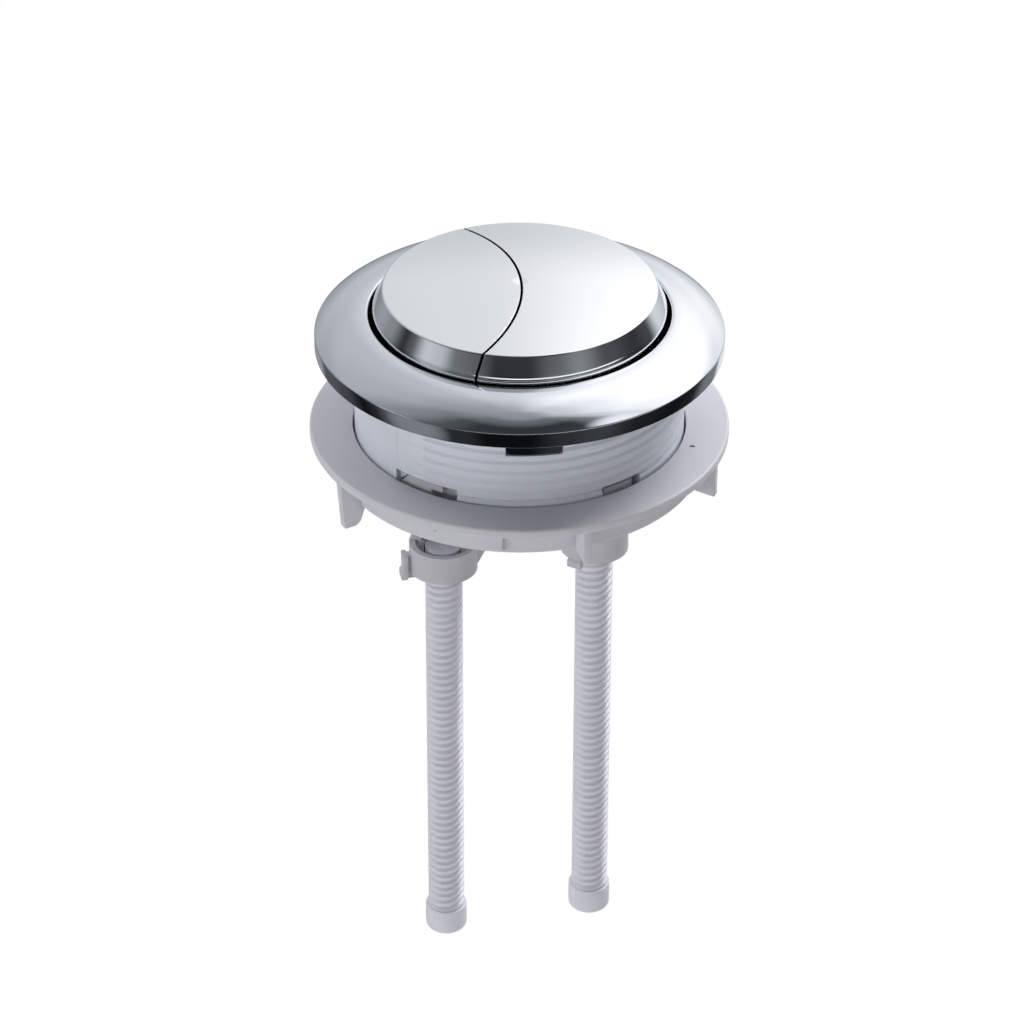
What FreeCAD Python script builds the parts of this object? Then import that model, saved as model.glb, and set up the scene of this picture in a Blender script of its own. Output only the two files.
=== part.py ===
import FreeCAD, Part
import math
import os
from types import SimpleNamespace

from FreeCAD import Placement, Rotation, Vector
import Sketcher

# A dual flush push button for a cistern lid. The origin is on the axis of the lid hole, at the
# face of the lid: the chrome ring sits on z = 0 and the barrel hangs below it. The small button
# is on the -X side and the large one on the +X side, and both are pressed along -Z.

# Name, millimetres or degrees, meaning. Depths are measured down from the face of the lid.
SIZES = [
    ("bezel_overhang", 6.65, "chrome ring, outside edge beyond the thread"),
    ("bezel_rim", 2.87, "height of the ring's upright rim"),
    ("bezel_crown", 6.36, "height of the ring at its inner edge"),
    ("bezel_sweep", 14.0, "radius of the ring's domed section"),
    ("bezel_wall", 1.7, "thickness of the ring's dome and rim"),
    ("bezel_rise", 0.7, "how much the rim's inner wall stops short of its outer one"),
    ("bezel_round", 0.35, "reach of the rounding of the ring's edges"),
    ("collar_wall", 0.75, "wall of the ring's inner collar"),
    ("collar_depth", 2.0, "how far the collar reaches into the barrel"),
    ("tab_width", 9.4, "snap tabs of the ring, across"),
    ("tab_depth", 5.4, "snap tabs, depth below the lid face"),
    ("tab_inset", 0.15, "snap tabs, set back from the thread"),
    ("tab_count", 3, "snap tabs round the ring"),
    ("tab_play", 0.2, "gap at each side of a tab"),
    ("barrel_radius", 28.75, "outside of the barrel's thread"),
    ("barrel_wall", 1.8, "wall of the barrel"),
    ("barrel_head", 3.4, "barrel above the lid face, inside the ring"),
    ("barrel_depth", 24.5, "bottom of the barrel"),
    ("ledge_width", 1.8, "ledge at the bottom of the barrel, inwards"),
    ("ledge_height", 1.2, "thickness of that ledge"),
    ("window_depth", 13.5, "top of the barrel's windows"),
    ("window_height", 7.2, "windows, height"),
    ("wide_window_angle", 230.7, "middle of the wide window, degrees from +X"),
    ("wide_window_angle_span", 25.3, "wide window, degrees"),
    ("slim_window_angle", 302.7, "middle of the slim window, degrees from +X"),
    ("slim_window_angle_span", 16.5, "slim window, degrees"),
    ("slim_window_drop", 0.4, "how much lower the slim window starts"),
    ("snug_gap", 0.1, "gap between parts that are pushed together"),
    ("cage_floor", 2.0, "guide cage, thickness of the floor"),
    ("cage_wall", 1.2, "guide cage, wall"),
    ("cage_top", 12.9, "guide cage, depth of the rim"),
    ("tongue_reach", 1.35, "guide cage, tongues out into the windows"),
    ("tongue_play", 0.5, "gap above and beside a tongue in its window"),
    ("wide_tongue_angle_span", 14.0, "tongue in the wide window, degrees"),
    ("tongue_tip_angle_span", 4.5, "low tip of that tongue, degrees"),
    ("tongue_tip_height", 1.1, "height of that tip"),
    ("slim_tongue_angle_span", 12.2, "tongue in the slim window, degrees"),
    ("slim_tongue_drop", 0.4, "extra gap above that tongue"),
    ("sleeve_wall", 1.0, "guide sleeves, wall"),
    ("sleeve_height", 5.0, "guide sleeves, height above the floor"),
    ("nut_depth", 15.4, "clamping face of the lock nut"),
    ("nut_flange", 1.65, "thickness of the flange"),
    ("nut_wall", 3.1, "wall of the nut's hub"),
    ("flange_width", 4.44, "flange of the nut beyond its hub"),
    ("nut_hub_height", 5.6, "hub below the flange"),
    ("nut_play", 0.35, "gap between nut and barrel at the thread crests"),
    ("nut_round", 0.4, "reach of the rounding of the flange's edges"),
    ("fin_thickness", 1.5, "ribs of the nut, thickness"),
    ("fin_root", 1.0, "long fins, depth into the hub"),
    ("fin_tip_inset", 0.35, "ribs, set in from the flange's edge at the top"),
    ("fin_toe_inset", 1.15, "long fins, set in from the flange's edge at the bottom"),
    ("long_fin_depth", 26.4, "bottom of the long fins"),
    ("fin_round", 0.9, "long fins, rounding of the inner bottom corner"),
    ("square_fin_depth", 23.3, "bottom of the square fins"),
    ("gusset_reach", 1.0, "gussets, out from the hub"),
    ("gusset_depth", 22.1, "bottom of the gussets"),
    ("stub_depth", 18.6, "bottom of the stubs under the flange"),
    ("stub_reach", 3.2, "stubs, out from the hub"),
    ("long_fin_angle", 206.1, "long fin, degrees from +X"),
    ("stub_angle", 239.9, "stub, degrees from +X"),
    ("gusset_angle", 258.7, "gusset, degrees from +X"),
    ("front_fin_angle", 283.6, "square fin at the front, degrees from +X"),
    ("right_fin_angle", 334.7, "square fin at the right, degrees from +X"),
    ("skirt_lean", 1.86, "buttons, crease round the top set in from the skirt"),
    ("button_edge_height", 10.74, "buttons, height of that crease"),
    ("button_sweep", 215.0, "radius of the buttons' domed top"),
    ("button_play", 0.6, "gap between buttons and ring"),
    ("skirt_top", 6.0, "height where the skirt turns straight"),
    ("skirt_depth", 3.0, "bottom of the skirt"),
    ("button_wall", 1.3, "wall of the chromed caps"),
    ("button_ceiling", 9.3, "height of the caps' inner ceiling"),
    ("button_round", 0.3, "reach of the rounding of the crease"),
    ("skirt_round", 0.5, "reach of the rounding where the skirt turns straight"),
    ("seam_radius", 33.8, "curved seam between the buttons"),
    ("seam_centre", 33.6, "centre of the seam's curve, towards -X"),
    ("seam_gap", 0.45, "gap between the two buttons"),
    ("plate_thickness", 2.0, "plungers, plate under the cap"),
    ("plate_play", 0.15, "gap between plate and cap wall"),
    ("leg_radius", 5.8, "plungers, leg outside"),
    ("leg_bore", 3.9, "plungers, bore above the rod"),
    ("leg_play", 0.3, "gap between leg and guide sleeve"),
    ("socket_depth", 40.1, "top of the small button's rod collar"),
    ("large_socket_rise", 2.9, "how much higher the large button's collar sits"),
    ("slot_depth", 28.0, "top of the open side of the leg"),
    ("slot_offset", 0.8, "open side, distance from the rod axis"),
    ("slot_angle", 17.0, "open side, turned from straight ahead, degrees"),
    ("barb_height", 2.4, "retaining barbs under the cage floor"),
    ("barb_reach", 0.85, "barbs, out from the leg"),
    ("barb_width", 3.0, "barbs, across"),
    ("barb_play", 0.3, "gap between barbs and floor at rest"),
    ("nose_radius", 4.55, "split nose that the collar grips"),
    ("nose_lip", 0.4, "lip that keeps the collar on the nose"),
    ("lip_height", 0.6, "height of that lip"),
    ("ring_radius", 6.1, "rod collar, outside"),
    ("ring_height", 5.4, "rod collar, height"),
    ("ring_play", 0.05, "gap between collar and nose"),
    ("ring_chamfer", 0.5, "rod collar, bevel of the upper inner edge"),
    ("lug_radius", 7.45, "thumb lug on the collar, out to"),
    ("lug_width", 2.6, "thumb lug, across"),
    ("lug_wall", 0.8, "thumb lug, thickness of its plate"),
    ("lug_web", 1.4, "thumb lug, thickness of the web that carries it"),
    ("lug_shoulder", 1.8, "thumb lug, start below the collar's top"),
    ("small_lug_height", 4.8, "thumb lug of the small button's collar, height"),
    ("large_lug_height", 3.9, "thumb lug of the large button's collar, height"),
    ("lug_lip", 0.35, "outward lip at the bottom of the lug"),
    ("lug_lip_height", 1.2, "height of that lip"),
    ("stop_radius", 7.4, "stop block opposite the lug, out to"),
    ("stop_width", 2.4, "stop block, across"),
    ("stop_height", 2.2, "stop block, height of its outer face"),
    ("stop_slope", 2.4, "stop block, height of the slope below that face"),
    ("small_lug_angle", 187.0, "lug on the small button's collar, degrees from +X"),
    ("large_lug_angle", 236.0, "lug on the large button's collar, degrees from +X"),
    ("rod_radius", 3.4, "threaded rods, over the thread"),
    ("rod_play", 0.05, "gap between rod and nose"),
    ("rod_length", 85.45, "rods with their feet"),
    ("rod_chamfer", 0.4, "bevel of the rod's upper end"),
    ("small_rod_sink", 0.6, "small rod's end below its collar's top"),
    ("large_rod_sink", 0.3, "large rod's end below its collar's top"),
    ("foot_radius", 3.85, "feet of the rods"),
    ("foot_height", 5.35, "feet, height"),
    ("foot_round", 1.1, "feet, rounding of the lower edge"),
    ("spring_mean", 8.0, "return springs, mean radius"),
    ("spring_wire", 0.9, "springs, wire thickness"),
    ("spring_turns", 5.5, "springs, turns"),
    ("spring_room", 2.25, "gap between a spring and the skirt of its button"),
]

# The nut's ribs in the front half are repeated half a turn on.
HALF_TURN = 180


class Size:
    """A length or angle that is worked out from the sheet, with the formula that gives it."""

    def __init__(self, formula, value):
        self.formula = formula
        self.value = value

    def combine(self, sign, other, result):
        other = as_size(other)
        return Size(f"({self.formula} {sign} {other.formula})", result(self.value, other.value))

    def __add__(self, other):
        return self.combine("+", other, lambda a, b: a + b)

    def __sub__(self, other):
        return self.combine("-", other, lambda a, b: a - b)

    def __mul__(self, other):
        return self.combine("*", other, lambda a, b: a * b)

    def __truediv__(self, other):
        return self.combine("/", other, lambda a, b: a / b)

    def __neg__(self):
        return Size(f"(-{self.formula})", -self.value)


def as_size(number):
    return number if isinstance(number, Size) else Size(repr(number), number)


def cosine(angle):
    return Size(f"cos({angle.formula} * 1deg)", math.cos(math.radians(angle.value)))


def sine(angle):
    return Size(f"sin({angle.formula} * 1deg)", math.sin(math.radians(angle.value)))


def root(square):
    return Size(f"sqrt({square.formula})", math.sqrt(square.value))


def write_sheet(doc):
    """The sheet of driving sizes, and the radii that follow from them through a fit or a wall."""
    sheet = doc.addObject("Spreadsheet::Sheet", "Sizes")
    for row, (alias, value, meaning) in enumerate(SIZES, start=1):
        sheet.set(f"A{row}", meaning)
        sheet.set(f"B{row}", str(value))
        sheet.setAlias(f"B{row}", alias)
    doc.recompute()
    s = SimpleNamespace(**{alias: Size(f"Sizes.{alias}", sheet.get(alias)) for alias, _, _ in SIZES})
    s.barrel_bore = s.barrel_radius - s.barrel_wall
    s.bezel_radius = s.barrel_radius + s.bezel_overhang
    s.bezel_bore = s.barrel_bore - s.snug_gap - s.collar_wall
    s.skirt_radius = s.bezel_bore - s.button_play
    s.button_edge = s.skirt_radius - s.skirt_lean
    s.rod_spread = s.skirt_radius - s.button_wall - s.spring_room - s.spring_wire / 2 - s.spring_mean
    s.nut_bore = s.barrel_radius + s.nut_play
    s.nut_hub_radius = s.nut_bore + s.nut_wall
    s.nut_radius = s.nut_hub_radius + s.flange_width
    return s


def bind(thing, **sizes):
    """Tie properties of an object to formulas of the sheet."""
    for name, size in sizes.items():
        thing.setExpression(name, as_size(size).formula)


def place(thing, x=None, y=None, z=None, turn=None):
    """Tie an object's place, and its turn about Z, to the sheet."""
    for axis, size in (("x", x), ("y", y), ("z", z)):
        if size is not None:
            thing.setExpression(f"Placement.Base.{axis}", size.formula)
    if turn is not None:
        thing.Placement.Rotation = Rotation(Vector(0, 0, 1), turn.value)
        thing.setExpression("Placement.Rotation.Angle", turn.formula)


def new_body(doc, label):
    body = doc.addObject("PartDesign::Body", label)
    body.Label = label
    return body


def new_sketch(body, name, role="XY_Plane", lift=None, turn=None):
    """A sketch on one of the body's own planes, lifted off it or turned about Z."""
    sketch = body.newObject("Sketcher::SketchObject", name)
    plane = next(item for item in body.Origin.OriginFeatures if item.Role == role)
    sketch.AttachmentSupport = [(plane, "")]
    sketch.MapMode = "FlatFace"
    if lift is not None:
        sketch.setExpression("AttachmentOffset.Base.z", lift.formula)
    if turn is not None:
        sketch.AttachmentOffset = Placement(Vector(), Rotation(Vector(0, 1, 0), turn.value))
        sketch.setExpression("AttachmentOffset.Rotation.Angle", turn.formula)
    return sketch


def fix(sketch, kind, *where_and_size):
    """Add a sketch dimension that follows the sheet."""
    *where, size = where_and_size
    number = sketch.addConstraint(Sketcher.Constraint(kind, *where, size.value))
    sketch.setExpression(f"Constraints[{number}]", size.formula)


def arc_through(start, end, radius, turn):
    """The shorter arc from start to end: turn is 1 for anticlockwise and -1 for clockwise."""
    chord = end - start
    side = Vector(-chord.y, chord.x, 0).normalize() * turn
    centre = (start + end) / 2 + side * math.sqrt(radius ** 2 - (chord.Length / 2) ** 2)
    first, last = (start, end) if turn > 0 else (end, start)
    angles = [math.atan2(spot.y - centre.y, spot.x - centre.x) for spot in (first, last)]
    if angles[1] < angles[0]:
        angles[1] += 2 * math.pi
    return Part.ArcOfCircle(Part.Circle(centre, Vector(0, 0, 1), radius), *angles)


def round_off(before, corner, after, reach):
    """Where a rounding of the corner starts and ends, and its arc, reach away along both sides."""
    ends = []
    for across, up in (before, after):
        run, rise = across - corner[0], up - corner[1]
        share = reach / root(run * run + rise * rise)
        ends.append((corner[0] + run * share, corner[1] + rise * share))
    (start_across, start_up), (end_across, end_up) = ends
    run, rise = end_across - start_across, end_up - start_up
    half_chord = root(run * run + rise * rise) / 2
    share = half_chord / reach
    radius = half_chord / root(as_size(1) - share * share)
    to_corner = (corner[0] - start_across).value, (corner[1] - start_up).value
    turn = 1 if to_corner[0] * rise.value - to_corner[1] * run.value > 0 else -1
    return ends[0], ends[1], (radius, turn)


def draw_outline(sketch, corners, arcs=None):
    """A closed outline. arcs maps a side, by number, to its radius and its turn."""
    arcs = arcs or {}
    spots = [Vector(across.value, up.value, 0) for across, up in corners]
    ends = []
    for side, start in enumerate(spots):
        end = spots[(side + 1) % len(spots)]
        if side in arcs:
            radius, turn = arcs[side]
            edge = sketch.addGeometry(arc_through(start, end, radius.value, turn))
            fix(sketch, "Radius", edge, radius)
            ends.append((edge, 1, 2) if turn > 0 else (edge, 2, 1))
        else:
            ends.append((sketch.addGeometry(Part.LineSegment(start, end)), 1, 2))
    for side, (edge, first, _) in enumerate(ends):
        before, _, last = ends[side - 1]
        sketch.addConstraint(Sketcher.Constraint("Coincident", before, last, edge, first))
        across, up = corners[side]
        fix(sketch, "DistanceX", -1, 1, edge, first, across)
        fix(sketch, "DistanceY", -1, 1, edge, first, up)


def draw_circle(sketch, radius, across=None):
    """A circle on the sketch's X axis, at the origin if across isn't given."""
    centre = Vector(across.value if across else 0, 0, 0)
    edge = sketch.addGeometry(Part.Circle(centre, Vector(0, 0, 1), radius.value))
    fix(sketch, "Radius", edge, radius)
    if across:
        fix(sketch, "DistanceX", -1, 1, edge, 3, across)
        sketch.addConstraint(Sketcher.Constraint("PointOnObject", edge, 3, -1))
    else:
        sketch.addConstraint(Sketcher.Constraint("Coincident", edge, 3, -1, 1))


def draw_sector(sketch, inner, outer, middle, span):
    """Part of a ring, span degrees wide about the direction middle."""
    first, last = middle - span / 2, middle + span / 2
    corners = [
        (inner * cosine(first), inner * sine(first)),
        (outer * cosine(first), outer * sine(first)),
        (outer * cosine(last), outer * sine(last)),
        (inner * cosine(last), inner * sine(last)),
    ]
    draw_outline(sketch, corners, {1: (outer, 1), 3: (inner, -1)})


def revolve(body, name, corners, arcs=None):
    """Turn an outline of radius and height round the body's Z axis."""
    sketch = new_sketch(body, f"{name}_outline", "XZ_Plane")
    draw_outline(sketch, corners, arcs)
    feature = body.newObject("PartDesign::Revolution", name)
    feature.Profile = sketch
    feature.ReferenceAxis = (sketch, ["V_Axis"])
    feature.Angle = 360
    return feature


def pad(body, name, sketch, height, symmetric=False):
    feature = body.newObject("PartDesign::Pad", name)
    feature.Profile = sketch
    if symmetric:
        feature.SideType = "Symmetric"
    bind(feature, Length=height)
    return feature


def pocket(body, name, sketch, depth):
    """Cut downwards from the sketch."""
    feature = body.newObject("PartDesign::Pocket", name)
    feature.Profile = sketch
    bind(feature, Length=depth)
    return feature


def repeat_round(body, name, features, count, sketch):
    pattern = body.newObject("PartDesign::PolarPattern", name)
    pattern.Originals = features
    pattern.Axis = (sketch, ["N_Axis"])
    pattern.Angle = 360
    bind(pattern, Occurrences=count)
    body.Tip = pattern
    return pattern


def mirror_back(body, name, features):
    """Mirror features from the front half to the back half."""
    mirrored = body.newObject("PartDesign::Mirrored", name)
    mirrored.Originals = features
    plane = next(item for item in body.Origin.OriginFeatures if item.Role == "XZ_Plane")
    mirrored.MirrorPlane = (plane, [""])
    body.Tip = mirrored
    return mirrored


def cylinder(doc, name, radius, bottom, height, x=None):
    """An upright cylinder on the X axis."""
    solid = doc.addObject("Part::Cylinder", name)
    bind(solid, Radius=radius, Height=height)
    place(solid, x=x, z=bottom)
    return solid


def join(doc, name, solids):
    fused = doc.addObject("Part::MultiFuse", name)
    fused.Shapes = solids
    return fused


def cut(doc, name, base, tool):
    result = doc.addObject("Part::Cut", name)
    result.Base = base
    result.Tool = tool
    return result


def overlap(doc, name, base, tool):
    result = doc.addObject("Part::Common", name)
    result.Base = base
    result.Tool = tool
    return result


def make_bezel(doc, s):
    """The chrome ring: a domed shell with an upright rim, a collar and snap tabs."""
    body = new_body(doc, "bezel")
    collar_radius = s.bezel_bore + s.collar_wall
    rim_bore = s.bezel_radius - s.bezel_wall
    zero = as_size(0)
    # The domed section is level at the inner edge, so its end tangents meet at this point.
    rise = s.bezel_crown - s.bezel_rim
    ring_width = s.bezel_radius - s.bezel_bore
    shoulder = (s.bezel_radius - rise * (s.bezel_sweep - rise) / ring_width, s.bezel_crown)
    rim_corner = (s.bezel_radius, s.bezel_rim)
    inner_corner = (s.bezel_bore, s.bezel_crown)
    rim_start, rim_end, rim_arc = round_off((s.bezel_radius, zero), rim_corner, shoulder, s.bezel_round)
    edge_start, edge_end, edge_arc = round_off(shoulder, inner_corner, (s.bezel_bore, zero), s.bezel_round)
    corners = [
        (s.bezel_bore, -s.collar_depth),
        (collar_radius, -s.collar_depth),
        (collar_radius, s.bezel_crown - s.bezel_wall),
        (rim_bore, s.bezel_rim - s.bezel_rise),
        (rim_bore, zero),
        (s.bezel_radius, zero),
        rim_start,
        rim_end,
        edge_start,
        edge_end,
    ]
    arcs = {2: (s.bezel_sweep - s.bezel_wall, -1), 6: rim_arc, 7: (s.bezel_sweep, 1), 8: edge_arc}
    revolve(body, "bezel_shell", corners, arcs)

    tab_sketch = new_sketch(body, "tab_outline", lift=-s.tab_depth)
    tab_radius = s.barrel_radius - s.tab_inset
    tab_span = s.tab_width / s.barrel_radius * as_size(math.degrees(1))
    middle_of_collar = s.bezel_bore + s.collar_wall / 2
    draw_sector(tab_sketch, middle_of_collar, tab_radius, as_size(270), tab_span)
    tab = pad(body, "tab", tab_sketch, s.tab_depth + s.bezel_crown - s.bezel_wall)
    repeat_round(body, "tabs", [tab], s.tab_count, tab_sketch)
    return body


def make_barrel(doc, s):
    """The threaded barrel that goes through the lid, with a ledge for the guide cage."""
    body = new_body(doc, "threaded_barrel")
    bore = s.barrel_bore
    ledge_top = s.ledge_height - s.barrel_depth
    corners = [
        (bore, s.barrel_head),
        (bore, ledge_top),
        (bore - s.ledge_width, ledge_top),
        (bore - s.ledge_width, -s.barrel_depth),
        (s.barrel_radius, -s.barrel_depth),
        (s.barrel_radius, s.barrel_head),
    ]
    revolve(body, "barrel_tube", corners)

    slot_sketch = new_sketch(body, "tab_slot_outline", lift=s.barrel_head)
    slot_width = s.tab_width + s.tab_play * 2
    slot_span = slot_width / s.barrel_radius * as_size(math.degrees(1))
    outside = s.barrel_radius + s.barrel_wall
    draw_sector(slot_sketch, bore - s.collar_wall, outside, as_size(270), slot_span)
    slot = pocket(body, "tab_slot", slot_sketch, s.barrel_head + s.tab_depth + s.tab_play)
    repeat_round(body, "tab_slots", [slot], s.tab_count, slot_sketch)

    windows = []
    for name, middle, span, depth in window_places(s):
        sketch = new_sketch(body, f"{name}_window_outline", lift=-depth)
        draw_sector(sketch, bore - s.collar_wall, outside, middle, span)
        windows.append(pocket(body, f"{name}_window", sketch, s.window_height))
    mirror_back(body, "back_windows", windows)
    return body


def window_places(s):
    """Name, direction, width and depth of the windows in the front half of the barrel."""
    slim_depth = s.window_depth + s.slim_window_drop
    return [
        ("wide", s.wide_window_angle, s.wide_window_angle_span, s.window_depth),
        ("slim", s.slim_window_angle, s.slim_window_angle_span, slim_depth),
    ]


def make_cage(doc, s):
    """The guide cage: a cup that snaps into the barrel and carries springs and plungers."""
    body = new_body(doc, "guide_cage")
    radius = s.barrel_bore - s.snug_gap
    bottom = s.ledge_height - s.barrel_depth
    floor = bottom + s.cage_floor
    zero = as_size(0)
    corners = [
        (zero, bottom),
        (radius, bottom),
        (radius, -s.cage_top),
        (radius - s.cage_wall, -s.cage_top),
        (radius - s.cage_wall, floor),
        (zero, floor),
    ]
    revolve(body, "cage_cup", corners)

    sleeve_bore = s.leg_radius + s.leg_play
    sleeve_sketch = new_sketch(body, "sleeve_outline", lift=bottom)
    for side in (-1, 1):
        draw_circle(sleeve_sketch, sleeve_bore + s.sleeve_wall, s.rod_spread * side)
    pad(body, "sleeves", sleeve_sketch, s.cage_floor + s.sleeve_height)
    hole_sketch = new_sketch(body, "sleeve_bores", lift=floor + s.sleeve_height)
    for side in (-1, 1):
        draw_circle(hole_sketch, sleeve_bore, s.rod_spread * side)
    pocket(body, "guide_holes", hole_sketch, s.cage_floor + s.sleeve_height)

    (_, wide_middle, wide_span, wide_depth), (_, slim_middle, slim_span, slim_depth) = window_places(s)
    play_span = s.tongue_play / s.barrel_radius * as_size(math.degrees(1))
    wide_start = wide_middle - wide_span / 2 + play_span
    tip_start = wide_start + s.wide_tongue_angle_span
    slim_start = slim_middle - slim_span / 2 + play_span
    full_height = s.window_height - s.tongue_play * 2
    slim_top = slim_depth + s.slim_tongue_drop
    tongues = []
    for name, start, span, depth, height in (
        ("wide_tongue", wide_start, s.wide_tongue_angle_span, wide_depth, full_height),
        ("tongue_tip", tip_start, s.tongue_tip_angle_span, wide_depth, s.tongue_tip_height),
        ("slim_tongue", slim_start, s.slim_tongue_angle_span, slim_top, full_height - s.slim_tongue_drop),
    ):
        sketch = new_sketch(body, f"{name}_outline", lift=-depth - s.tongue_play - height)
        inner = radius - s.cage_wall / 2
        draw_sector(sketch, inner, radius + s.tongue_reach, start + span / 2, span)
        tongues.append(pad(body, name, sketch, height))
    mirror_back(body, "back_tongues", tongues)
    return body


def make_nut(doc, s):
    """The lock nut: a flange that clamps the lid from below, a hub, fins and gussets."""
    body = new_body(doc, "lock_nut")
    bore = s.nut_bore
    flange_bottom = -s.nut_depth - s.nut_flange
    hub_bottom = flange_bottom - s.nut_hub_height
    top_edge = (s.nut_radius, -s.nut_depth)
    low_edge = (s.nut_radius, flange_bottom)
    flange_foot = (s.nut_hub_radius, flange_bottom)
    low_start, low_end, low_arc = round_off(flange_foot, low_edge, top_edge, s.nut_round)
    top_start, top_end, top_arc = round_off(low_edge, top_edge, (bore, -s.nut_depth), s.nut_round)
    corners = [
        (bore, -s.nut_depth),
        (bore, hub_bottom),
        (s.nut_hub_radius, hub_bottom),
        flange_foot,
        low_start,
        low_end,
        top_start,
        top_end,
    ]
    revolve(body, "nut_ring", corners, {4: low_arc, 6: top_arc})

    middle_of_flange = flange_bottom + s.nut_flange / 2
    middle_of_hub = (bore + s.nut_hub_radius) / 2
    fin_root = s.nut_hub_radius - s.fin_root
    fin_tip = s.nut_radius - s.fin_tip_inset
    long_fin = [
        (fin_root, middle_of_flange),
        (fin_root, hub_bottom),
        (s.nut_hub_radius, -s.long_fin_depth + s.fin_round),
        (s.nut_hub_radius + s.fin_round, -s.long_fin_depth),
        (s.nut_radius - s.fin_toe_inset, -s.long_fin_depth),
        (fin_tip, middle_of_flange),
    ]
    square_fin = [
        (middle_of_hub, middle_of_flange),
        (middle_of_hub, hub_bottom),
        (s.nut_hub_radius, hub_bottom),
        (fin_tip, -s.square_fin_depth),
        (fin_tip, middle_of_flange),
    ]
    gusset_tip = s.nut_hub_radius + s.gusset_reach
    gusset = [
        (middle_of_hub, middle_of_flange),
        (middle_of_hub, -s.gusset_depth),
        (gusset_tip, -s.gusset_depth),
        (gusset_tip, middle_of_flange),
    ]
    stub_tip = s.nut_hub_radius + s.stub_reach
    stub = [
        (middle_of_hub, middle_of_flange),
        (middle_of_hub, -s.stub_depth),
        (stub_tip, -s.stub_depth),
        (stub_tip, middle_of_flange),
    ]
    for name, direction, outline, arcs in (
        ("long_fin", s.long_fin_angle, long_fin, {2: (s.fin_round, 1)}),
        ("stub", s.stub_angle, stub, None),
        ("gusset", s.gusset_angle, gusset, None),
        ("front_fin", s.front_fin_angle, square_fin, None),
        ("right_fin", s.right_fin_angle, square_fin, None),
    ):
        for half, turn in (("near", direction), ("far", direction - HALF_TURN)):
            sketch = new_sketch(body, f"{half}_{name}_outline", "XZ_Plane", turn=turn)
            draw_outline(sketch, outline, arcs)
            pad(body, f"{half}_{name}", sketch, s.fin_thickness, symmetric=True)
    return body


def make_button_blanks(doc, s):
    """The form of both buttons together, and the hollow inside it, before the seam."""
    zero = as_size(0)
    skirt_foot = (s.skirt_radius, -s.skirt_depth)
    bend = (s.skirt_radius, s.skirt_top)
    crease = (s.button_edge, s.button_edge_height)
    over_dome = (zero, s.button_edge_height + s.button_edge * s.button_edge / s.button_sweep)
    bend_start, bend_end, bend_arc = round_off(skirt_foot, bend, crease, s.skirt_round)
    crease_start, crease_end, crease_arc = round_off(bend, crease, over_dome, s.button_round)
    dome_radius, dome_foot = crease_end
    flat = root(s.button_sweep * s.button_sweep - dome_radius * dome_radius)
    outside = [
        (zero, -s.skirt_depth),
        skirt_foot,
        bend_start,
        bend_end,
        crease_start,
        crease_end,
        (zero, dome_foot + s.button_sweep - flat),
    ]
    blank = new_body(doc, "button_blank")
    revolve(blank, "button_dome", outside, {2: bend_arc, 4: crease_arc, 5: (s.button_sweep, 1)})

    inside = [
        (zero, -s.skirt_depth - s.button_wall),
        (s.skirt_radius - s.button_wall, -s.skirt_depth - s.button_wall),
        (s.skirt_radius - s.button_wall, s.skirt_top),
        (s.button_edge - s.button_wall, s.button_ceiling),
        (zero, s.button_ceiling),
    ]
    hollow = new_body(doc, "button_hollow")
    revolve(hollow, "button_space", inside)
    return blank, hollow


def seam_cylinder(doc, name, s, offset):
    """The upright cylinder of the seam, larger than the seam's own curve by offset."""
    bottom = -s.skirt_depth - s.button_wall * 2
    height = s.button_edge_height + s.button_edge
    return cylinder(doc, name, s.seam_radius + offset, bottom, height, x=-s.seam_centre)


def make_small_button(doc, s, blank, hollow):
    """The lens-shaped cap on the -X side of the seam."""
    half_gap = s.seam_gap / 2
    outer = overlap(doc, "small_cap_form", blank, seam_cylinder(doc, "small_cap_side", s, -half_gap))
    inner_side = seam_cylinder(doc, "small_cap_inner_side", s, -half_gap - s.button_wall)
    button = cut(doc, "small_button", outer, overlap(doc, "small_cap_space", hollow, inner_side))
    button.Label = "small_button"
    return button


def make_large_button(doc, s, blank, hollow):
    """The rest of the round top, on the +X side of the seam."""
    half_gap = s.seam_gap / 2
    outer = cut(doc, "large_cap_form", blank, seam_cylinder(doc, "large_cap_side", s, half_gap))
    inner_side = seam_cylinder(doc, "large_cap_inner_side", s, half_gap + s.button_wall)
    button = cut(doc, "large_button", outer, cut(doc, "large_cap_space", hollow, inner_side))
    button.Label = "large_button"
    return button


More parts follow.
